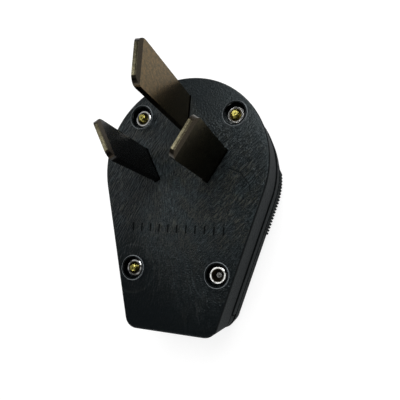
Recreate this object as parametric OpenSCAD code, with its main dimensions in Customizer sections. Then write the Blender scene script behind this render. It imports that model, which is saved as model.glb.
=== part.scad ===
// Three-blade angle plug, 50 A: two moulded shells held by four screws and nuts, three flat
// blades bent from brass strip, and a strap that grips the cord inside the narrow end.
// +Y points to the round end, +Z out of the face that carries the blades.

/* [Shell] */
// Length of the body from the cord end to the round end
body_len = 110; // [100:1:135]
// Radius of the round end
head_r = 38.3; // [36:0.1:47]
// Width across the two corner rounds of the cord end
foot_w = 43.6; // [40:0.1:52]
// Radius of the cord end's corners
foot_r = 6; // [5:0.5:8]
// Depth of the whole body, back to face
body_h = 31.5; // [30:0.5:40]
// Depth of the rear cover, back to parting plane
rear_h = 12.2; // [11.8:0.1:14]
// Thickness of the side walls
wall = 3; // [2.6:0.1:3.6]
// Thickness of the face
face_t = 5; // [4:0.25:6]
// Thickness of the rear cover's floor
floor_t = 2.5; // [2.2:0.1:2.6]
// How far the face's outline lies inside the parting line's, for draft
face_inset = 0.3; // [0.1:0.1:0.6]
// How far the back's outline lies inside the rear cover's rim, for draft
back_inset = 0.8; // [0.2:0.1:1.2]
// Radius of the face's edge
face_edge_r = 0.8; // [0.4:0.1:1.2]
// Radius of the back's edge
back_edge_r = 3; // [1.5:0.25:3.5]

/* [Parting line] */
// How far the rear cover's rim stands outside the front shell
rear_step = 0.4; // [0:0.05:0.8]
// Height of the shadow gap between the shells
gap_h = 0.8; // [0.4:0.1:1.2]
// Depth of the shadow gap
gap_d = 1; // [0.5:0.1:1.2]
// Height of the bead along the front shell's edge
bead_h = 5.1; // [4:0.1:7]
// How far the bead stands out
bead_out = 0.4; // [0.2:0.05:0.8]
// Distance from the cord end to the end of the bead
bead_end = 7.2; // [6:0.1:12]
// Radius of the bead's end corner
bead_end_r = 2.4; // [1:0.1:3.5]
// Width of the groove round the bead
groove_w = 0.7; // [0.4:0.05:1]
// Depth of the groove round the bead
groove_d = 0.6; // [0.3:0.05:1]
// Height of the rear cover's locating lip
lip_h = 2; // [1.5:0.1:3]
// Thickness of the locating lip
lip_t = 1.1; // [0.9:0.05:1.3]
// Clearance round the locating lip
lip_gap = 0.15; // [0.1:0.05:0.25]

/* [Marks] */
// Number of sunk marks across the face
mark_n = 11; // [0:1:14]
// Distance from one mark to the next
mark_step = 4.2; // [3:0.1:4.4]
// Width of a mark
mark_w = 0.7; // [0.4:0.1:1.2]
// Height of a mark, along the body
mark_h = 3.6; // [2:0.1:5]
// Depth of the marks
mark_d = 0.3; // [0.1:0.05:0.5]
// Distance from the round end's axis to the row of marks
mark_y = 27.4; // [24:0.2:32]

/* [Grip] */
// Number of grip ribs round the widest part of each side of the rear cover
grip_n = 10; // [6:1:14]
// Number of grip ribs below them, on the straight part of each side
grip_low = 10; // [4:1:16]
// Angle from one grip rib to the next, about the round end's axis
grip_step = 2.4; // [2:0.1:3]
// Radius of a grip rib
grip_r = 0.6; // [0.4:0.05:0.7]

/* [Blades] */
// Width of each blade
blade_w = 15.6; // [13:0.1:18.5]
// Thickness of the blade strip
blade_t = 2.4; // [2:0.05:2.9]
// Height of the two line blades above the face
line_len = 25.4; // [20:0.1:32]
// Height of the neutral blade above the face
neutral_len = 30.2; // [24:0.1:38]
// Distance from the round end's axis to the middle of the neutral blade
neutral_y = 21.9; // [20:0.1:24]
// Sideways distance from the axis to the middle of each line blade
line_x = 15; // [13:0.1:17]
// Distance from the axis to the middle of the line blades, towards the cord end
line_y = 0.1; // [0:0.1:4]
// Slant of the line blades
line_angle = 30; // [20:1:40]
// Radius of the blade tips' corners
tip_r = 2.8; // [1.5:0.1:4]
// Length of the bevel at the blade tips
tip_bevel = 1.5; // [0.8:0.1:2.5]
// Thickness left at the end of the bevel
tip_t = 1.6; // [1:0.1:1.8]
// Clearance between a blade and its slot
slot_gap = 0.35; // [0.2:0.05:0.5]
// Length of the blade's inner foot from the blade's middle plane
tail_len = 13.4; // [12.4:0.1:13.6]
// Inner radius of the bend between blade and foot
bend_r = 1; // [0.6:0.1:1.4]

/* [Terminals] */
// Width of a clamp plate, away from the blade
plate_w = 8; // [7:0.1:8.4]
// Length of a clamp plate, along the blade
plate_l = 13; // [11:0.5:15]
// Thickness of a clamp plate
plate_t = 2; // [1.5:0.1:2.4]
// Thread diameter of the terminal screws
term_d = 5; // [4:0.5:5]
// Length of the terminal screws under the head
term_len = 6.4; // [5:0.1:7]
// Thickness of the rib that backs each blade's foot
back_rib_t = 2.2; // [1.6:0.1:2.4]
// Length of the rib that backs each blade's foot
back_rib_l = 11; // [8:0.5:13]

/* [Fixings] */
// Distance from the round end's side to the middle of the screws there
head_screw_in = 7.8; // [7.4:0.1:9]
// Angle of the round end's screws above the axis
head_screw_a = 44.3; // [40:0.5:52]
// Distance from the tapered side to the middle of the screws there
foot_screw_in = 7.6; // [7.2:0.1:9]
// Distance from the cord end to the screws near it
foot_screw_up = 26.3; // [24:0.1:32]
// Thread diameter of the housing screws
screw_d = 3; // [2.5:0.1:3.6]
// Clearance round the screws in the shells
screw_gap = 0.25; // [0.15:0.05:0.4]
// Diameter of the wells in the face
well_d = 9.4; // [9:0.1:11.4]
// Depth of the wells
well_h = 2.8; // [2.4:0.1:3.6]
// Wall round the wells
well_wall = 1.6; // [1.2:0.1:1.8]
// Width of the raised ring round each well
ring_w = 0.6; // [0.4:0.1:1]
// Height of the raised ring round each well
ring_h = 0.3; // [0.1:0.05:0.5]
// Nut's width across flats
nut_af = 7; // [6:0.1:7.8]
// Thickness of the nuts
nut_h = 3.2; // [2.4:0.1:4]
// Diameter of the countersink in a nut's outer face
sink_d = 4.9; // [4:0.1:5.4]
// Depth of the countersink in a nut's outer face
sink_h = 1.3; // [0.5:0.1:1.6]
// Depth of the hexagonal seat below a well
seat_h = 1.5; // [1:0.1:2]
// Clearance round a nut in its seat
nut_gap = 0.15; // [0.1:0.05:0.25]
// How far the screws stand out of the nuts
screw_out = 1.4; // [0.5:0.1:2]
// How far the short screw stays below its nut's top
screw_short = 1.6; // [0.4:0.1:2]
// Diameter of the screw bosses
boss_d = 10; // [9:0.1:11]
// Diameter of the screw heads
head_d = 7.6; // [6.5:0.1:8.4]
// Height of the screw heads
head_h = 2.6; // [2:0.1:3]
// Width of the screw heads' slots
drive_w = 1.2; // [0.8:0.1:1.6]
// Depth of the screw heads' slots
drive_h = 1.3; // [0.8:0.1:1.6]
// Clearance round the screw heads in the back
head_gap = 0.5; // [0.3:0.05:0.7]
// Depth of the head wells in the back
head_well_h = 4; // [3.2:0.1:5]

/* [Cord end] */
// Diameter of the cord inlet
cord_d = 16; // [13:0.5:16.5]
// Length of the cord inlet's bore
inlet_len = 8; // [5:0.5:9]
// Wall round the cord inlet
inlet_wall = 2.4; // [2:0.1:3]
// Chamfer at the mouth of the cord inlet
inlet_bevel = 1; // [0.5:0.1:1.5]
// Thickness of the cord strap
strap_t = 1.2; // [1:0.1:1.4]
// Width of the cord strap
strap_w = 7; // [6:0.5:8]
// Distance from the cord end to the middle of the strap
strap_y = 14; // [12.5:0.5:15]
// Distance from the cord's axis to each strap screw
strap_screw_x = 13.4; // [13.2:0.1:14]
// Thread diameter of the strap screws
strap_screw_d = 3.5; // [3:0.1:4]
// Length of the strap screws under the head
strap_screw_len = 9; // [7:0.5:12]
// Diameter of the strap screws' heads
strap_head_d = 6; // [5.5:0.1:6.6]
// Height of the strap screws' heads
strap_head_h = 2; // [1.6:0.1:2.4]
// Diameter of the bosses that take the strap screws
strap_boss_d = 7; // [6:0.1:7.4]

/* [Ribs] */
// Thickness of the inner ribs
rib_t = 1.8; // [1.4:0.1:2.4]
// Height of the stiffening ribs on the floor
rib_h = 2; // [1:0.25:3]
// Length of the barrier between the line terminals
barrier_l = 24; // [16:1:26]
// Depth of the barrier below the face
barrier_h = 13; // [8:1:15]

/* [Hidden] */

eps = 0.01;
thread_gap = 0.05;
ROUND = 96;
SMALL = 48;
HEAD_STEPS = 56;
FOOT_STEPS = 7;

black = [0.07, 0.07, 0.075];
brass = [0.55, 0.43, 0.26];
zinc = [0.72, 0.74, 0.76];
yellow_zinc = [0.78, 0.64, 0.3];

// Outline: a large round at the head, two small rounds at the foot, joined by tangents.
head_c = [0, body_len / 2 - head_r];
foot_c = [foot_w / 2 - foot_r, foot_r - body_len / 2];
link = foot_c - head_c;
side_a = atan2(link.y, link.x) + acos((head_r - foot_r) / norm(link));
side_n = [cos(side_a), sin(side_a)];
side_top = head_c + head_r * side_n;
side_low = foot_c + foot_r * side_n;

face_in_z = body_h - face_t;
lip_in = wall - lip_t - lip_gap;

// Screw places, named for the side that they are on
head_screw = head_c + (head_r - head_screw_in) * [cos(head_screw_a), sin(head_screw_a)];
foot_screw_y = foot_screw_up - body_len / 2;
side_x = side_low.x + (foot_screw_y - side_low.y) * (side_top.x - side_low.x) / (side_top.y - side_low.y);
foot_screw = [side_x - foot_screw_in / cos(side_a), foot_screw_y];

nut_z = body_h - well_h - seat_h;
strap_pos_y = strap_y - body_len / 2;
plate_x = tail_len - plate_w / 2 - 0.6;
back_rib_x = plate_x - plate_w / 2 - back_rib_t / 2 - 0.3;

// Points along an arc of radius r about c, from angle a to b
function arc(c, r, a, b, n = 8) = [for (i = [0:n]) c + r * [cos(a + (b - a) * i / n), sin(a + (b - a) * i / n)]];

// The outline grown by o, anticlockwise from the right-hand end of the round head
function outline(o = 0) = concat(
    arc(head_c, head_r + o, side_a, 180 - side_a, HEAD_STEPS),
    arc([-foot_c.x, foot_c.y], foot_r + o, 180 - side_a, 270, FOOT_STEPS),
    arc(foot_c, foot_r + o, 270, 360 + side_a, FOOT_STEPS)
);

// A solid whose outline changes with height: each ring is a height and a growth
module skin(rings) {
    n = len(outline());
    top = n * (len(rings) - 1);
    polyhedron(
        points = [for (ring = rings) for (p = outline(ring[1])) [p.x, p.y, ring[0]]],
        faces = concat(
            [[for (i = [0:n - 1]) i]],
            [for (k = [0:n:top - n]) for (i = [0:n - 1]) [k + i, k + n + i, k + n + (i + 1) % n, k + (i + 1) % n]],
            [[for (i = [n - 1:-1:0]) top + i]]
        )
    );
}

// A prism of the outline grown by o, between two heights
module prism(o, low, high) {
    translate([0, 0, low]) linear_extrude(high - low) polygon(outline(o));
}

// The bead seen from the side, grown by g and carried right across the body: it starts with
// a rounded corner near the cord end and runs on past the round end.
module bead_shape(g) {
    r = bead_end_r + g;
    y = bead_end - body_len / 2 - g;
    z = rear_h + bead_h + g;
    translate([-body_len / 2, 0, 0]) rotate([90, 0, 90]) linear_extrude(body_len) polygon(concat(
        [[body_len, rear_h - (g > 0 ? 1 : 0)], [body_len, z]],
        arc([y + r, z - r], r, 90, 180, 6),
        [[y, rear_h - (g > 0 ? 1 : 0)]]
    ));
}

module bead() {
    difference() {
        intersection() {
            prism(bead_out, rear_h, rear_h + bead_h);
            bead_shape(0);
        }
        prism(-wall / 2, rear_h - 1, rear_h + bead_h + 1);
    }
}

module bead_groove() {
    difference() {
        intersection() {
            prism(bead_out + 1, rear_h - 1, rear_h + bead_h + groove_w);
            bead_shape(groove_w);
        }
        prism(-groove_d, rear_h - 2, body_h);
        bead_shape(0);
    }
}

module at_screws() {
    for (m = [0, 1]) mirror([m, 0, 0]) {
        translate([head_screw.x, head_screw.y, 0]) children();
        translate([foot_screw.x, foot_screw.y, 0]) children();
    }
}

// Puts its children at a blade: the blade lies along y and its foot points along x
module at_neutral() translate([0, head_c.y + neutral_y, 0]) children();
module at_right_line() translate([line_x, head_c.y - line_y, 0]) rotate([0, 0, -line_angle]) children();
module at_left_line() mirror([1, 0, 0]) at_right_line() children();
module at_blades() {
    at_neutral() children();
    at_right_line() children();
    at_left_line() children();
}

module front_body() {
    difference() {
        skin(concat(
            [[rear_h, 0]],
            [for (a = [0:30:90]) [
                body_h - face_edge_r * (1 - sin(a)), -face_inset - face_edge_r * (1 - cos(a))
            ]]
        ));
        prism(-wall, rear_h - 1, face_in_z);
    }
    bead();
    at_screws() {
        translate([0, 0, rear_h]) cylinder(d = boss_d, h = face_in_z - rear_h + 1, $fn = SMALL);
        translate([0, 0, nut_z - 2]) cylinder(d = well_d + 2 * well_wall, h = body_h - nut_z + 1, $fn = SMALL);
        translate([0, 0, body_h - eps]) cylinder(d = well_d + 2 * ring_w, h = ring_h + eps, $fn = SMALL);
    }
    for (s = [-1, 1]) translate([s * strap_screw_x, strap_pos_y, rear_h])
        cylinder(d = strap_boss_d, h = face_in_z - rear_h + 1, $fn = SMALL);
    inlet_collar(rear_h, face_in_z + 1);
    translate([-rib_t / 2, head_c.y - barrier_l, face_in_z - barrier_h])
        cube([rib_t, barrier_l, barrier_h + 1]);
}

// A block round the cord inlet, between two heights
module inlet_collar(low, high) {
    w = cord_d + 2 * inlet_wall;
    translate([-w / 2, -body_len / 2 + wall - 0.5, low]) cube([w, inlet_len - wall + 0.5, high - low]);
}

module inlet_bore() {
    translate([0, -body_len / 2, rear_h]) rotate([-90, 0, 0]) {
        translate([0, 0, -2]) cylinder(d = cord_d, h = inlet_len + 4, $fn = ROUND);
        translate([0, 0, -rear_step - eps])
            cylinder(d1 = cord_d + 2 * (inlet_bevel + rear_step), d2 = cord_d, h = inlet_bevel + rear_step, $fn = ROUND);
    }
}

module blade_slot() {
    w = blade_w + 2 * slot_gap;
    t = blade_t + 2 * slot_gap;
    translate([-t / 2, -w / 2, face_in_z - 1]) cube([t, w, face_t + 2]);
    translate([0, -w / 2, face_in_z - 1]) cube([blade_t / 2 + bend_r + slot_gap, w, 1 + bend_r + slot_gap]);
    translate([plate_x, 0, face_in_z - 1])
        cylinder(d = term_d + 1, h = 1 + term_len - plate_t - blade_t + 0.4, $fn = SMALL);
}

// A row of plain upright marks sunk in the face
module face_marks() {
    for (i = [0:mark_n - 1]) translate([(i - (mark_n - 1) / 2) * mark_step, head_c.y - mark_y, body_h - mark_d])
        linear_extrude(mark_d + 1) union() {
            square([mark_w, mark_h - mark_w], center = true);
            for (s = [-1, 1]) translate([0, s * (mark_h - mark_w) / 2]) circle(d = mark_w, $fn = 16);
        }
}

module front_housing() {
    color(black) difference() {
        front_body();
        bead_groove();
        face_marks();
        difference() {
            prism(-lip_in, rear_h - 1, rear_h + lip_h + 0.2);
            prism(-wall - 0.2, rear_h - 2, rear_h + lip_h + 1);
        }
        at_screws() {
            translate([0, 0, body_h - well_h]) cylinder(d = well_d, h = well_h + 1, $fn = SMALL);
            translate([0, 0, nut_z])
                cylinder(r = (nut_af / 2 + nut_gap) / cos(30), h = seat_h + 1, $fn = 6);
            translate([0, 0, rear_h - 1]) cylinder(d = screw_d + 2 * screw_gap, h = body_h, $fn = SMALL);
        }
        at_blades() blade_slot();
        inlet_bore();
        for (s = [-1, 1]) translate([s * strap_screw_x, strap_pos_y, rear_h - 1])
            cylinder(d = strap_screw_d, h = strap_screw_len - strap_t + 2, $fn = SMALL);
    }
}

module grip_rib() {
    translate([head_r + rear_step - back_inset / 2, 0, back_edge_r + 0.5])
        cylinder(r = grip_r, h = rear_h - gap_h - back_edge_r - 1.5, $fn = 24);
}

// Ribs round the widest part of each side, and on down its straight part
module grip_ribs() {
    pitch = head_r * grip_step * PI / 180;
    for (m = [0, 1]) mirror([m, 0, 0]) translate([head_c.x, head_c.y, 0]) {
        for (i = [0:grip_n - 1]) rotate([0, 0, side_a + (i + 0.5) * grip_step]) grip_rib();
        rotate([0, 0, side_a]) for (i = [0:grip_low - 1]) translate([0, -(i + 0.5) * pitch, 0]) grip_rib();
    }
}

module floor_ribs() {
    low = -body_len / 2 + strap_y + strap_w;
    for (x = [-11, 0, 11]) translate([x - rib_t / 2, low, floor_t - 1])
        cube([rib_t, head_c.y + neutral_y - low, rib_h + 1]);
    for (y = [foot_screw_y, head_c.y - 12, head_screw.y]) translate([-18, y - rib_t / 2, floor_t - 1])
        cube([36, rib_t, rib_h + 1]);
}

module rear_body() {
    difference() {
        union() {
            skin(concat(
                [for (a = [0:15:90]) [
                    back_edge_r * (1 - cos(a)), rear_step - back_inset - back_edge_r * (1 - sin(a))
                ]],
                [[rear_h - gap_h, rear_step]]
            ));
            prism(-gap_d, back_edge_r, rear_h);
            prism(-wall + lip_t, rear_h - 1, rear_h + lip_h);
        }
        prism(-wall, floor_t, rear_h + lip_h + 1);
    }
    at_screws() cylinder(d = head_d + 2 * head_gap + 2 * well_wall, h = rear_h, $fn = SMALL);
    at_blades() translate([back_rib_x - back_rib_t / 2, -back_rib_l / 2, floor_t - 1])
        cube([back_rib_t, back_rib_l, face_in_z - blade_t - floor_t + 1]);
    inlet_collar(floor_t - 1, rear_h);
    grip_ribs();
    floor_ribs();
}

module rear_cover() {
    color(black) difference() {
        rear_body();
        at_screws() {
            translate([0, 0, -1]) cylinder(d = head_d + 2 * head_gap, h = head_well_h + 1, $fn = SMALL);
            cylinder(d = screw_d + 2 * screw_gap, h = rear_h + 1, $fn = SMALL);
        }
        inlet_bore();
    }
}

// A blade with its foot: strip bent once, then trimmed to the rounded tip
module blade(len) {
    c = [blade_t / 2 + bend_r, face_in_z + bend_r];
    top = body_h + len;
    color(brass) difference() {
        intersection() {
            translate([0, blade_w / 2, 0]) rotate([90, 0, 0]) linear_extrude(blade_w) polygon(concat(
                arc(c, bend_r, 180, 270, 5),
                [[tail_len, face_in_z], [tail_len, face_in_z - blade_t]],
                arc(c, bend_r + blade_t, 270, 180, 7),
                [
                    [-blade_t / 2, top - tip_bevel], [-tip_t / 2, top],
                    [tip_t / 2, top], [blade_t / 2, top - tip_bevel]
                ]
            ));
            translate([-blade_t, 0, 0]) rotate([90, 0, 90]) linear_extrude(tail_len + 2 * blade_t) polygon(concat(
                [[-blade_w / 2, 0], [blade_w / 2, 0]],
                arc([blade_w / 2 - tip_r, top - tip_r], tip_r, 0, 90, 7),
                arc([tip_r - blade_w / 2, top - tip_r], tip_r, 90, 180, 7)
            ));
        }
        translate([plate_x, 0, face_in_z - blade_t - 1])
            cylinder(d = term_d + 2 * thread_gap, h = blade_t + 2, $fn = SMALL);
    }
}

module clamp_plate() {
    chamfer = 1.2;
    z = face_in_z - blade_t - plate_t;
    a = plate_w / 2;
    b = plate_l / 2;
    color(zinc) translate([plate_x, 0, z]) difference() {
        linear_extrude(plate_t) polygon([
            [a, chamfer - b], [a, b - chamfer], [a - chamfer, b], [chamfer - a, b],
            [-a, b - chamfer], [-a, chamfer - b], [chamfer - a, -b], [a - chamfer, -b]
        ]);
        translate([0, 0, -1]) cylinder(d = term_d + 0.5, h = plate_t + 2, $fn = SMALL);
    }
}

// A slotted pan-head screw, head down, with the underside of its head at z = 0
module pan_screw(d, len, hd, hh) {
    round_r = hh * 0.45;
    difference() {
        rotate_extrude($fn = SMALL) polygon(concat(
            [[0, -hh]],
            arc([hd / 2 - round_r, round_r - hh], round_r, -90, 0, 5),
            [[hd / 2, 0], [d / 2, 0], [d / 2, len - d * 0.12], [d * 0.38, len], [0, len]]
        ));
        translate([-drive_w / 2, -hd, -hh - 1]) cube([drive_w, 2 * hd, drive_h + 1]);
    }
}

module terminal_screw() {
    color(zinc) translate([plate_x, 0, face_in_z - blade_t - plate_t])
        pan_screw(term_d, term_len, head_d, head_h);
}

module housing_screw(place, side, len) {
    color(yellow_zinc) translate([side * place.x, place.y, head_well_h])
        pan_screw(screw_d, len, head_d, head_h);
}

// A hexagon nut, chamfered on both faces
module nut(place, side) {
    corner = nut_af / 2 / cos(30);
    bevel = 0.35;
    color(zinc) translate([side * place.x, place.y, nut_z]) difference() {
        intersection() {
            cylinder(r = corner, h = nut_h, $fn = 6);
            rotate_extrude($fn = SMALL) polygon([
                [0, 0], [nut_af / 2 - 0.1, 0], [corner, bevel], [corner + 0.1, bevel],
                [corner + 0.1, nut_h - bevel], [corner, nut_h - bevel], [nut_af / 2 - 0.1, nut_h], [0, nut_h]
            ]);
        }
        translate([0, 0, -1]) cylinder(d = screw_d + 2 * thread_gap, h = nut_h + 2, $fn = SMALL);
        translate([0, 0, nut_h - sink_h]) cylinder(d1 = screw_d, d2 = sink_d, h = sink_h + eps, $fn = SMALL);
    }
}

full_screw_len = nut_z + nut_h + screw_out - head_well_h;
short_screw_len = nut_z + nut_h - screw_short - head_well_h;

// The strap under the cord: a half ring with an ear at each side
module cord_strap() {
    inner = cord_d / 2;
    outer = inner + strap_t;
    ear = strap_screw_x + strap_head_d / 2 + 0.2;
    color(zinc) difference() {
        translate([0, strap_pos_y + strap_w / 2, rear_h]) rotate([90, 0, 0]) linear_extrude(strap_w)
            polygon(concat(
                [[inner, 0]],
                [[ear, 0], [ear, -strap_t]],
                arc([0, 0], outer, -asin(strap_t / outer), asin(strap_t / outer) - 180, 24),
                [[-ear, -strap_t], [-ear, 0]],
                arc([0, 0], inner, -180, 0, 24)
            ));
        for (s = [-1, 1]) translate([s * strap_screw_x, strap_pos_y, 0])
            cylinder(d = strap_screw_d + 0.4, h = rear_h + 1, $fn = SMALL);
    }
}

module strap_screw(side) {
    color(zinc) translate([side * strap_screw_x, strap_pos_y, rear_h - strap_t])
        pan_screw(strap_screw_d - 2 * thread_gap, strap_screw_len, strap_head_d, strap_head_h);
}

front_housing();
rear_cover();
at_neutral() blade(neutral_len);  // neutral_blade
at_left_line() blade(line_len);  // left_line_blade
at_right_line() blade(line_len);  // right_line_blade
at_neutral() clamp_plate();  // neutral_clamp_plate
at_left_line() clamp_plate();  // left_clamp_plate
at_right_line() clamp_plate();  // right_clamp_plate
at_neutral() terminal_screw();  // neutral_terminal_screw
at_left_line() terminal_screw();  // left_terminal_screw
at_right_line() terminal_screw();  // right_terminal_screw
housing_screw(head_screw, -1, full_screw_len);  // head_left_screw
housing_screw(head_screw, 1, full_screw_len);  // head_right_screw
housing_screw(foot_screw, -1, full_screw_len);  // foot_left_screw
housing_screw(foot_screw, 1, short_screw_len);  // foot_right_screw
nut(head_screw, -1);  // head_left_nut
nut(head_screw, 1);  // head_right_nut
nut(foot_screw, -1);  // foot_left_nut
nut(foot_screw, 1);  // foot_right_nut
cord_strap();
strap_screw(-1);  // left_strap_screw
strap_screw(1);  // right_strap_screw
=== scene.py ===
"""Looks of the three-blade angle plug: camera, studio, and a procedural finish for every piece."""
import math

import bmesh
import bpy
from mathutils import Euler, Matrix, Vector


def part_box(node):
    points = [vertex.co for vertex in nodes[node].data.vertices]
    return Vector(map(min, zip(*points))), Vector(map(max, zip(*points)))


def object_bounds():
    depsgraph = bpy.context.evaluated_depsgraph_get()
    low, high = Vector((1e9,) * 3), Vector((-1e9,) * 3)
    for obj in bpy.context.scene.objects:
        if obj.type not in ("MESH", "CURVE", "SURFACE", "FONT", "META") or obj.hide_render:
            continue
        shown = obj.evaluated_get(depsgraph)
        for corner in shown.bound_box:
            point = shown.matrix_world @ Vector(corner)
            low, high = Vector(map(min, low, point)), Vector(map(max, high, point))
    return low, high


MM = 0.001

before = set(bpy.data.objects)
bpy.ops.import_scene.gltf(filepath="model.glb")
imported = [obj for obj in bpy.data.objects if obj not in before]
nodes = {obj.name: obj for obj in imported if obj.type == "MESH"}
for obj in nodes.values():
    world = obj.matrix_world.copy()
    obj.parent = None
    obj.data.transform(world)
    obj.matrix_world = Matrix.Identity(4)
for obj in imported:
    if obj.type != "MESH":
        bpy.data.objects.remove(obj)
cad_box = [list(corner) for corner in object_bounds()]
scene = bpy.context.scene

far_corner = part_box("front_housing")[1]
RING_H = 0.3  # the rings round the wells stand this far above the face
HEAD_R = 38.3  # radius of the round end
FACE = far_corner.z - RING_H * MM
AXIS = far_corner.y - HEAD_R * MM  # 0.4 mm past the round end's axis: the box has the bead in it


def place(x, y, z):
    """A point of the frame, given in millimetres from AXIS, z from the face."""
    return Vector((x * MM, AXIS + y * MM, FACE + z * MM))


def from_face(point):
    """The other way round: a point of the frame in millimetres from that origin."""
    return (point - place(0, 0, 0)) / MM


def middle_of(name):
    """The middle of a piece's box, in the same millimetres."""
    lo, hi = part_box(name)
    return from_face((lo + hi) / 2)


# ------------------------------------------------------------------ camera

def make_camera():
    data = bpy.data.cameras.new("camera")
    data.lens = 22.38
    data.sensor_width = 36
    data.shift_x = -0.175
    data.shift_y = 0.125
    data.clip_start = 0.005
    data.clip_end = 20
    camera = bpy.data.objects.new("camera", data)
    scene.collection.objects.link(camera)
    camera.location = place(60.179, -36.481, 94.693)
    turn = [math.radians(angle) for angle in (2.338, 11.422, 4.381)]
    camera.rotation_euler = Euler(turn, "XYZ")
    scene.camera = camera


# ------------------------------------------------------------------ node trees

class Tree:
    """Short calls that build a node tree. An input is a number, a colour or a node's output."""

    def __init__(self, tree):
        self.tree = tree
        tree.nodes.clear()

    def add(self, kind, inputs=(), **settings):
        node = self.tree.nodes.new("ShaderNode" + kind)
        for name, value in settings.items():
            setattr(node, name, value)
        for name, value in dict(inputs).items():
            socket = node.inputs[name]
            if isinstance(value, bpy.types.NodeSocket):
                self.tree.links.new(value, socket)
            else:
                socket.default_value = value
        return node.outputs

    def math(self, operation, a, b=0.0, clamp=False):
        return self.add("Math", {0: a, 1: b}, operation=operation, use_clamp=clamp)[0]

    def vector(self, operation, a, b, c=(0, 0, 0)):
        return self.add("VectorMath", {0: a, 1: b, 2: c}, operation=operation)[0]

    def length(self, a):
        return self.add("VectorMath", {0: a}, operation="LENGTH")["Value"]

    def lerp(self, factor, a, b):
        return self.add("Mix", {0: factor, 2: a, 3: b}, data_type="FLOAT")[0]

    def blend(self, factor, a, b):
        return self.add("Mix", {0: factor, 6: a, 7: b}, data_type="RGBA")[2]

    def ramp(self, value, start, end, low=0.0, high=1.0):
        """value from start to end, turned smoothly into low to high, and held beyond both."""
        inputs = {0: value, 1: start, 2: end, 3: low, 4: high}
        return self.add("MapRange", inputs, interpolation_type="SMOOTHSTEP")[0]

    def fall(self, value, start, end):
        """1 up to start, then smoothly down to 0 at end."""
        return self.ramp(value, start, end, 1.0, 0.0)

    def noise(self, point, scale, detail, rough=0.5):
        inputs = {"Vector": point, "Scale": scale, "Detail": detail, "Roughness": rough}
        return self.add("TexNoise", inputs)[0]

    def turned(self, point, degrees, stretch=(1, 1, 1)):
        """point turned about z, then stretched along the turned axes."""
        inputs = {"Vector": point, "Angle": -math.radians(degrees)}
        turned = self.add("VectorRotate", inputs, rotation_type="Z_AXIS")[0]
        return self.vector("MULTIPLY", turned, stretch)

    def times(self, *values):
        result = values[0]
        for value in values[1:]:
            result = self.math("MULTIPLY", result, value)
        return result

    def most(self, *values):
        result = values[0]
        for value in values[1:]:
            result = self.math("MAXIMUM", result, value)
        return result

    def band(self, value, level, inner, outer):
        """1 while value is within inner of level, falling to 0 at outer."""
        gap = self.math("ABSOLUTE", self.math("SUBTRACT", value, level))
        return self.fall(gap, inner, outer)

    def total(self, parts):
        """The sum of height * weight over (height, weight) pairs."""
        result = None
        for height, weight in parts:
            part = self.math("MULTIPLY", height, weight)
            result = part if result is None else self.math("ADD", result, part)
        return result


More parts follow.
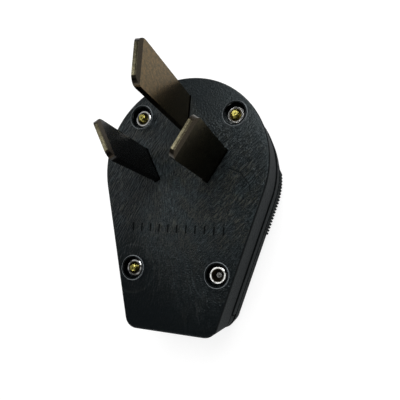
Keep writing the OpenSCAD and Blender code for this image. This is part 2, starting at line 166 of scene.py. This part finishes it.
class Finish(Tree):
    """A material with its own tree. self.mm is the place in millimetres, as place() takes it."""

    def __init__(self, name):
        self.material = bpy.data.materials.new(name)
        self.material.use_nodes = True
        super().__init__(self.material.node_tree)
        here = self.add("TexCoord")["Object"]
        shift = [-v / MM for v in place(0, 0, 0)]
        self.mm = self.vector("MULTIPLY_ADD", here, (1 / MM,) * 3, shift)

    def height(self):
        return self.add("SeparateXYZ", {0: self.mm})["Z"]

    def lengthwise(self):
        return self.add("SeparateXYZ", {0: self.mm})["Y"]

    def facing_up(self):
        return self.add("SeparateXYZ", {0: self.add("NewGeometry")["Normal"]})["Z"]

    def distance(self, x, y):
        """Distance in millimetres from an upright line through x, y."""
        return self.length(self.vector("MULTIPLY_ADD", self.mm, (1, 1, 0), (-x, -y, 0)))

    def beyond_outline(self):
        """Distance in millimetres outside the body's outline, taken as a tapered capsule."""
        narrow_end, taper, radius_at_axis = -60.0, 0.26, 38.5
        along = self.add("Clamp", {0: self.lengthwise(), 1: narrow_end, 2: 0.0})[0]
        middle = self.add("CombineXYZ", {"Y": along})[0]
        flat = self.vector("MULTIPLY", self.mm, (1, 1, 0))
        radius = self.math("ADD", self.times(along, taper), radius_at_axis)
        return self.math("SUBTRACT", self.length(self.vector("SUBTRACT", flat, middle)), radius)

    def line(self, start, end, width, wobble=0.6):
        """1 on a wavering line between two points of the face, falling to 0 at width beside it."""
        step = Vector((*end, 0)) - Vector((*start, 0))
        shake = self.add("TexNoise", {"Vector": self.mm, "Scale": 0.35, "Detail": 3.0})["Color"]
        size, middle = (wobble * 4, wobble * 4, 0), (-wobble * 2, -wobble * 2, 0)
        here = self.vector("MULTIPLY_ADD", shake, size, middle)
        here = self.vector("ADD", self.vector("MULTIPLY", self.mm, (1, 1, 0)), here)
        here = self.vector("SUBTRACT", here, (*start, 0))
        inputs = {0: here, 1: step / step.length_squared}
        part = self.add("VectorMath", inputs, operation="DOT_PRODUCT")["Value"]
        inputs = {0: tuple(step), "Scale": self.add("Clamp", {0: part})[0]}
        painted_falloff = self.add("VectorMath", inputs, operation="SCALE")["Vector"]
        return self.fall(self.length(self.vector("SUBTRACT", here, painted_falloff)), 0.0, width)

    def blob(self, x, y, rx, ry, soft, turn=0):
        """1 inside an ellipse on the face, 0 outside, with a soft rim."""
        flat = self.vector("MULTIPLY_ADD", self.mm, (1, 1, 0), (-x, -y, 0))
        flat = self.turned(flat, turn, (1 / rx, 1 / ry, 0))
        return self.fall(self.length(flat), 1 - soft, 1 + soft)

    def streaks(self, degrees, along, across):
        """Noise drawn out along a direction in the face; along and across are in millimetres."""
        drawn = self.turned(self.mm, degrees, (1 / along, 1 / across, 0.3))
        return self.noise(drawn, 1.0, 1, 0.6)

    def surface(self, **inputs):
        """Ends the tree in a Principled surface; names are its sockets, with _ for a space."""
        named = {name.replace("_", " "): value for name, value in inputs.items()}
        shader = self.add("BsdfPrincipled", named)[0]
        self.add("OutputMaterial", {"Surface": shader})
        return self.material

    def bump(self, height, strength, distance):
        """A normal bent by height; distance, in millimetres, is the relief of a height of 1."""
        inputs = {"Height": height, "Strength": strength, "Distance": distance * MM}
        return self.add("Bump", inputs)[0]


# ------------------------------------------------------------------ studio

def make_world():
    """White to the camera; mirrored rays see white low down and near-black above it."""
    world = bpy.data.worlds.new("studio")
    world.use_nodes = True
    scene.world = world
    t = Tree(world.node_tree)
    path = t.add("LightPath")
    up = t.add("SeparateXYZ", {0: t.add("TexCoord")["Generated"]})["Z"]
    wall = t.fall(up, 0.08, 0.3)
    mirrored = t.most(path["Is Glossy Ray"], path["Is Transmission Ray"])
    white = t.most(path["Is Camera Ray"], t.times(mirrored, wall))
    sky = t.lerp(path["Is Glossy Ray"], 0.34, 0.03)  # as matt surfaces see it, as mirrors do
    level = t.lerp(white, sky, 1.0)
    back = t.add("Background", {"Color": (1, 1, 1, 1), "Strength": level})[0]
    t.add("OutputWorld", {"Surface": back})


def make_floor():
    """Pale paper that glows to the camera, and to mirrored rays except close to the body, where
    that glow fades as a painted shadow for the body's sides to mirror.
    """
    mesh = bpy.data.meshes.new("floor")
    shape = bmesh.new()
    bmesh.ops.create_grid(shape, x_segments=2, y_segments=2, size=3)
    shape.to_mesh(mesh)
    shape.free()
    floor = bpy.data.objects.new("floor", mesh)
    floor.location = (0, 0, cad_box[0][2] - 0.02 * MM)  # just clear of the lowest piece
    scene.collection.objects.link(floor)
    t = Finish("floor")
    path = t.add("LightPath")
    mirrored = t.most(path["Is Glossy Ray"], path["Is Transmission Ray"])
    # painted shadow: near the body, the glow that mirrored rays see drops to 0.06
    painted_shadow_fade = t.ramp(t.beyond_outline(), 4, 50, 0.06, 1.0)
    seen = t.most(path["Is Camera Ray"], t.times(mirrored, painted_shadow_fade))
    grain = t.noise(t.mm, 0.4, 3)
    paper = t.blend(grain, (0.30, 0.30, 0.30, 1), (0.32, 0.32, 0.32, 1))
    lit = t.add("BsdfDiffuse", {"Color": paper})[0]
    far = t.ramp(t.distance(0, -17), 150, 900, 0.8, 1.0)
    glow = t.add("Emission", {"Color": (1, 1, 1, 1), "Strength": t.times(seen, far)})[0]
    t.add("OutputMaterial", {"Surface": t.add("AddShader", {0: lit, 1: glow})[0]})
    mesh.materials.append(t.material)


def lamp(name, spot, size, power, aim=(0, -15, 0)):
    """An area lamp at spot, turned to aim, both as place() takes them; size is in metres."""
    data = bpy.data.lights.new(name, "AREA")
    data.shape = "RECTANGLE"
    data.size, data.size_y = size
    data.energy = power
    light = bpy.data.objects.new(name, data)
    light.location = place(*spot)
    away = place(*spot) - place(*aim)
    light.rotation_euler = away.to_track_quat("Z", "Y").to_euler()
    scene.collection.objects.link(light)


make_camera()
make_world()
make_floor()
lamp("key", (110, 420, 590), (0.5, 0.5), 4.4)
lamp("left_card", (-380, 120, 465), (0.42, 0.2), 0.11)
lamp("top_card", (-250, -100, 600), (0.09, 0.09), 0.04, aim=(20, -45, 0))
lamp("front_fill", (-250, -620, 160), (0.6, 0.4), 0.9)
scene.view_settings.view_transform = "Standard"


# ------------------------------------------------------------------ finishes

WELLS = [middle_of(name) for name in nodes if name.endswith("_nut")]
WELL_R = 4.7
RING_R = WELL_R + 0.62  # where a thin painted highlight line runs round a well
SINK_R = 10.5  # the faint ring round each well at the narrow end
GROOVES = ((-13.85, 0.75), (-19.7, 0.8))  # height and half-width of the grooves round the body, painted dark as shade
STREAKS = (  # direction, length, width, weight; then where: x, y, rx, ry, soft, turn
    (60, 5, 0.65, 0.8, (-21, 13, 17, 14, 0.6)),
    (64, 4, 0.60, 0.6, (-24, -8, 14, 26, 0.6)),
    (94, 3, 0.55, 1.0, (-3, -14, 14, 28, 0.6)),
    (52, 4, 0.60, 1.0, (19, -15, 19, 26, 0.6)),
    (80, 5, 0.80, 0.3, (-10, -42, 18, 18, 0.7)),
    (104, 12, 1.40, 0.5, (9, -50, 9, 20, 0.6, 20)),
)


def shell_streaks(t):
    """Brush marks: their paint from 0 to 1, and their relief round 0."""
    paint, relief = [], []
    for degrees, along, across, weight, blob in STREAKS:
        field = t.streaks(degrees, along, across)
        where = t.times(t.blob(*blob), weight)
        paint.append(t.times(t.ramp(field, 0.52, 0.64), where))
        relief.append((t.math("SUBTRACT", field, 0.5), where))
    return t.most(*paint), t.total(relief)


def shell_wells(t):
    """Round the wells: the painted highlight line, the painted shade of the dip inside it, the sink
    ring, and the well itself.
    """
    highlight_rings, dip_shade, sinks, inside = [], [], [], []
    for well in WELLS:
        far = t.distance(well.x, well.y)
        highlight_rings.append(t.band(far, RING_R, 0.02, 0.22))
        # painted shade: the dip just inside each ring and the well below it
        dip_shade.append(t.fall(far, WELL_R + 0.35, WELL_R + 0.5))
        inside.append(t.fall(far, WELL_R, WELL_R + 0.1))
        if well.y < 0:
            sinks.append(t.band(far, SINK_R, 0.1, 0.8))
    return [t.most(*group) for group in (highlight_rings, dip_shade, sinks, inside)]


def shell_edges(t, up, scratch, dip_shade):
    """The darkest parts: painted shade on rounded corners, in grooves, on the top of the side walls
    just under the face, on upward faces just below the face and in the dip round each well, and the
    blemish.
    """
    nz = t.facing_up()
    high = t.height()
    rounded = t.times(t.ramp(nz, 0.15, 0.3), t.fall(nz, 0.9, 0.985))
    grooves = [t.band(high, level, half - 0.15, half) for level, half in GROOVES]
    under_face = t.times(t.ramp(high, -1.5, -1.1), t.math("SUBTRACT", 0.9, up, clamp=True))
    marks = t.times(t.ramp(high, -1.0, -0.9), t.fall(high, -0.2, -0.1), up)
    blemish, dip = t.times(scratch, up, 0.9), t.times(dip_shade, up, 0.8)
    return t.most(rounded, *grooves, under_face, marks, blemish, dip)


def make_shell(name):
    """Moulded black plastic: grain, brush marks, flow lines and rings on the face, duller sides;
    painted shade towards the narrow end, at rounded corners, in grooves and in the well dip, and a
    painted highlight on each ring.
    """
    t = Finish(name)
    up = t.ramp(t.facing_up(), 0.6, 0.95)
    painted_falloff = t.ramp(t.lengthwise(), -20, -50)  # 1 on the narrow end's part of the face, which painted shade darkens
    grain = t.noise(t.mm, 1.3, 1, 0.5)
    speckle = t.ramp(t.blob(12, -28, 24, 34, 0.6), 0, 1, 0.25, 1.0)
    lines, scored = shell_streaks(t)
    highlight_rings, dip_shade, sinks, inside = shell_wells(t)
    seams = t.most(t.line((-8.7, -14), (-5.8, -52), 0.5), t.line((-14.5, -20), (-13, -42), 0.5))
    scratch = t.most(
        t.line((21, -2), (26, -3.6), 0.45, 0.3),
        t.line((26, -3.6), (30, -8), 0.4, 0.3),
        t.line((30, -8), (31.5, -13), 0.35, 0.3),
    )
    relief = t.total((
        (grain, t.times(speckle, t.lerp(up, 0.4, 0.9))),
        (scored, t.lerp(up, 0.5, 2.6)),
        (sinks, -0.16),
        (seams, 0.2),
        (scratch, -0.5),
        (highlight_rings, 0.4),
    ))
    cloud = t.ramp(t.noise(t.mm, 0.08, 3, 0.6), 0.35, 0.65)
    dark = t.blend(cloud, (0.0022, 0.0036, 0.0050, 1), (0.0034, 0.0050, 0.0062, 1))
    # painted shade: the base colour is darker towards the narrow end, for the light's fall-off
    # there
    dark = t.blend(painted_falloff, dark, (0.0008, 0.0018, 0.0026, 1))
    hue = t.ramp(t.noise(t.mm, 0.12, 2), 0.4, 0.6)
    tint = t.blend(hue, (0.036, 0.047, 0.050, 1), (0.046, 0.047, 0.039, 1))
    flecks = t.times(t.ramp(t.noise(t.mm, 2.1, 0), 0.56, 0.66), speckle)
    # brush streaks and flecks, dimmed towards the narrow end by the same painted shade
    marks_in_painted_falloff = t.times(t.most(lines, flecks), t.lerp(painted_falloff, 1.0, 0.2))
    flow = t.most(t.times(seams, 0.22), t.times(sinks, 0.10))
    shade = t.blend(t.times(t.most(marks_in_painted_falloff, flow), up), dark, tint)
    painted_shade_and_blemish = shell_edges(t, up, scratch, dip_shade)
    # painted shade: near black on rounded corners, in grooves, under the face, just below the face
    # and in the well dip; the blemish is dark too
    shade = t.blend(painted_shade_and_blemish, shade, (0.0004, 0.0006, 0.0008, 1))
    # painted highlight: a light line along each ring round a well
    shade = t.blend(t.times(highlight_rings, up), shade, (0.30, 0.33, 0.35, 1))
    rough = t.math("ADD", t.lerp(up, 0.60, 0.36), t.ramp(grain, 0.3, 0.7, -0.05, 0.05))
    rough = t.lerp(painted_shade_and_blemish, rough, 1.0)
    rough = t.lerp(t.times(inside, t.fall(t.height(), -0.1, 0.1)), rough, 0.18)
    return t.surface(
        Base_Color=shade, Roughness=rough, IOR=1.5, Specular_IOR_Level=0.31,
        Specular_Tint=(0.82, 0.96, 0.99, 1), Normal=t.bump(relief, 1.0, 0.6),
    )


def make_blade(name, top, middle, slant, dullness, warm, dull):
    """Tarnished brass strip, bevelled near its tip, which is top millimetres above the face.

    The cut tip is bare brass, brighter where wear shows, with a painted highlight along one side
    that fades towards one end; the bevel below it is painted dark as shade.
    """
    t = Finish(name)
    high = t.height()
    own = t.turned(t.vector("SUBTRACT", t.mm, (*middle, 0)), slant)
    across, along = t.add("SeparateXYZ", {0: own})[0:2]
    mottle = t.noise(t.mm, 0.9, 4, 0.65)
    grain = t.noise(t.mm, 3.2, 3, 0.7)
    # painted light and shade: warm and dull are set per blade, lightest on the neutral blade and
    # darkest on the left one
    body = t.blend(t.ramp(mottle, 0.35, 0.65), warm, dull)
    spots = [0.7 * part for part in dull[:3]] + [1]
    body = t.blend(t.ramp(grain, 0.35, 0.75, 0.0, 0.7), body, spots)
    bevel = t.ramp(high, top - 1.62, top - 1.5)
    # painted shade: the bevel below the tip is darker than the strip
    body = t.blend(bevel, body, (0.036, 0.030, 0.022, 1))
    # bare brass where wear shows, with a painted highlight along one side, fading along the tip
    wear_and_highlight = t.lerp(t.ramp(t.noise(t.mm, 0.5, 4, 0.7), 0.40, 0.62), 1.0, 0.45)
    wear_and_highlight = t.times(wear_and_highlight, t.ramp(along, -6, 6, 1.0, 0.4), t.ramp(across, 0.1, 0.45, 1.0, 0.15))
    cut = t.blend(wear_and_highlight, (0.10, 0.085, 0.055, 1), (0.95, 0.86, 0.54, 1))
    shade = t.blend(t.ramp(high, top - 0.06, top - 0.02), body, cut)
    rough = t.math("ADD", t.lerp(bevel, dullness, 0.28), t.ramp(grain, 0.3, 0.7, -0.03, 0.05))
    relief = t.total(((grain, 0.5), (mottle, 0.8)))
    normal = t.bump(relief, 0.5, 0.03)
    return t.surface(Base_Color=shade, Metallic=1.0, Roughness=rough, Normal=normal)


def make_nut(name, centre):
    """A bright plated nut with its countersink painted dark as shade."""
    t = Finish(name)
    grain = t.noise(t.mm, 2.5, 3, 0.6)
    far = t.distance(centre.x, centre.y)
    bright = t.blend(grain, (0.92, 0.92, 0.90, 1), (0.74, 0.74, 0.70, 1))
    # painted shade: the countersink round the hole is dark
    shade = t.blend(t.ramp(far, 2.7, 2.95), (0.055, 0.046, 0.030, 1), bright)
    rough = t.ramp(far, 2.6, 2.9, 0.30, 0.16)
    normal = t.bump(t.noise(t.mm, 0.3, 1), 1.0, 0.2)
    return t.surface(Base_Color=shade, Metallic=1.0, Roughness=rough, Normal=normal)


def make_screw(name, centre, bright, dull):
    """A plated screw: thread ridges round its shank and a dark disc at its end, painted as shade.
    """
    t = Finish(name)
    pitch = 0.5
    grain = t.noise(t.mm, 2.5, 3, 0.6)
    shade = t.blend(grain, bright, dull)
    # painted shade: a dark disc on the screw's end, a little off its middle
    spot = t.fall(t.distance(centre.x + 0.15, centre.y - 0.25), 0.25, 0.6)
    shade = t.blend(t.times(spot, 0.85), shade, [0.12 * part for part in dull[:3]] + [1])
    thread = t.math("SINE", t.times(t.height(), math.tau / pitch))
    on_shank = t.ramp(t.distance(centre.x, centre.y), 1.35, 1.45)
    relief = t.total(((thread, on_shank), (grain, 0.4)))
    normal = t.bump(relief, 0.8, 0.12)
    return t.surface(Base_Color=shade, Metallic=1.0, Roughness=0.2, Normal=normal)


def make_metal(name, tint, other, rough):
    """Plain cloudy metal for the pieces inside."""
    t = Finish(name)
    cloud = t.noise(t.mm, 0.25, 3)
    grain = t.noise(t.mm, 3.0, 3, 0.6)
    shade = t.blend(cloud, tint, other)
    return t.surface(
        Base_Color=shade, Metallic=1.0, Roughness=t.ramp(grain, 0.3, 0.7, rough, rough + 0.12),
        Normal=t.bump(grain, 0.3, 0.02),
    )


shell = make_shell("shell_plastic")
zinc = make_metal("zinc", (0.70, 0.70, 0.68, 1), (0.50, 0.50, 0.49, 1), 0.25)
terminal = make_metal("terminal_metal", (0.55, 0.42, 0.22, 1), (0.40, 0.30, 0.15, 1), 0.35)
BLADES = {  # about where each stands in the face, its slant, its dullness and its two colours; the colours differ from blade to blade as painted light and shade
    "neutral_blade": ((0, 21.9), 0, 0.20, (0.165, 0.112, 0.055, 1), (0.090, 0.072, 0.042, 1)),
    "left_line_blade": ((-15, -0.1), 30, 0.24, (0.038, 0.037, 0.035, 1), (0.028, 0.028, 0.027, 1)),
    "right_line_blade": ((15, -0.1), -30, 0.22, (0.095, 0.082, 0.052, 1), (0.065, 0.058, 0.040, 1)),
}
YELLOW = ((0.98, 0.92, 0.30, 1), (0.80, 0.66, 0.12, 1))
STEEL = ((0.42, 0.42, 0.40, 1), (0.16, 0.16, 0.15, 1))


def finish_of(name):
    centre = middle_of(name)
    if name in ("front_housing", "rear_cover"):
        return shell
    if "blade" in name:
        return make_blade(name + "_brass", from_face(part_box(name)[1]).z, *BLADES[name])
    if "clamp" in name or "terminal" in name:
        return terminal
    if name.endswith("nut"):
        return make_nut(name + "_plating", centre)
    if "strap" in name:
        return zinc
    return make_screw(name + "_plating", centre, *(STEEL if name == "foot_right_screw" else YELLOW))


for name, node in nodes.items():
    finish = finish_of(name)
    for slot in node.material_slots:
        slot.material = finish
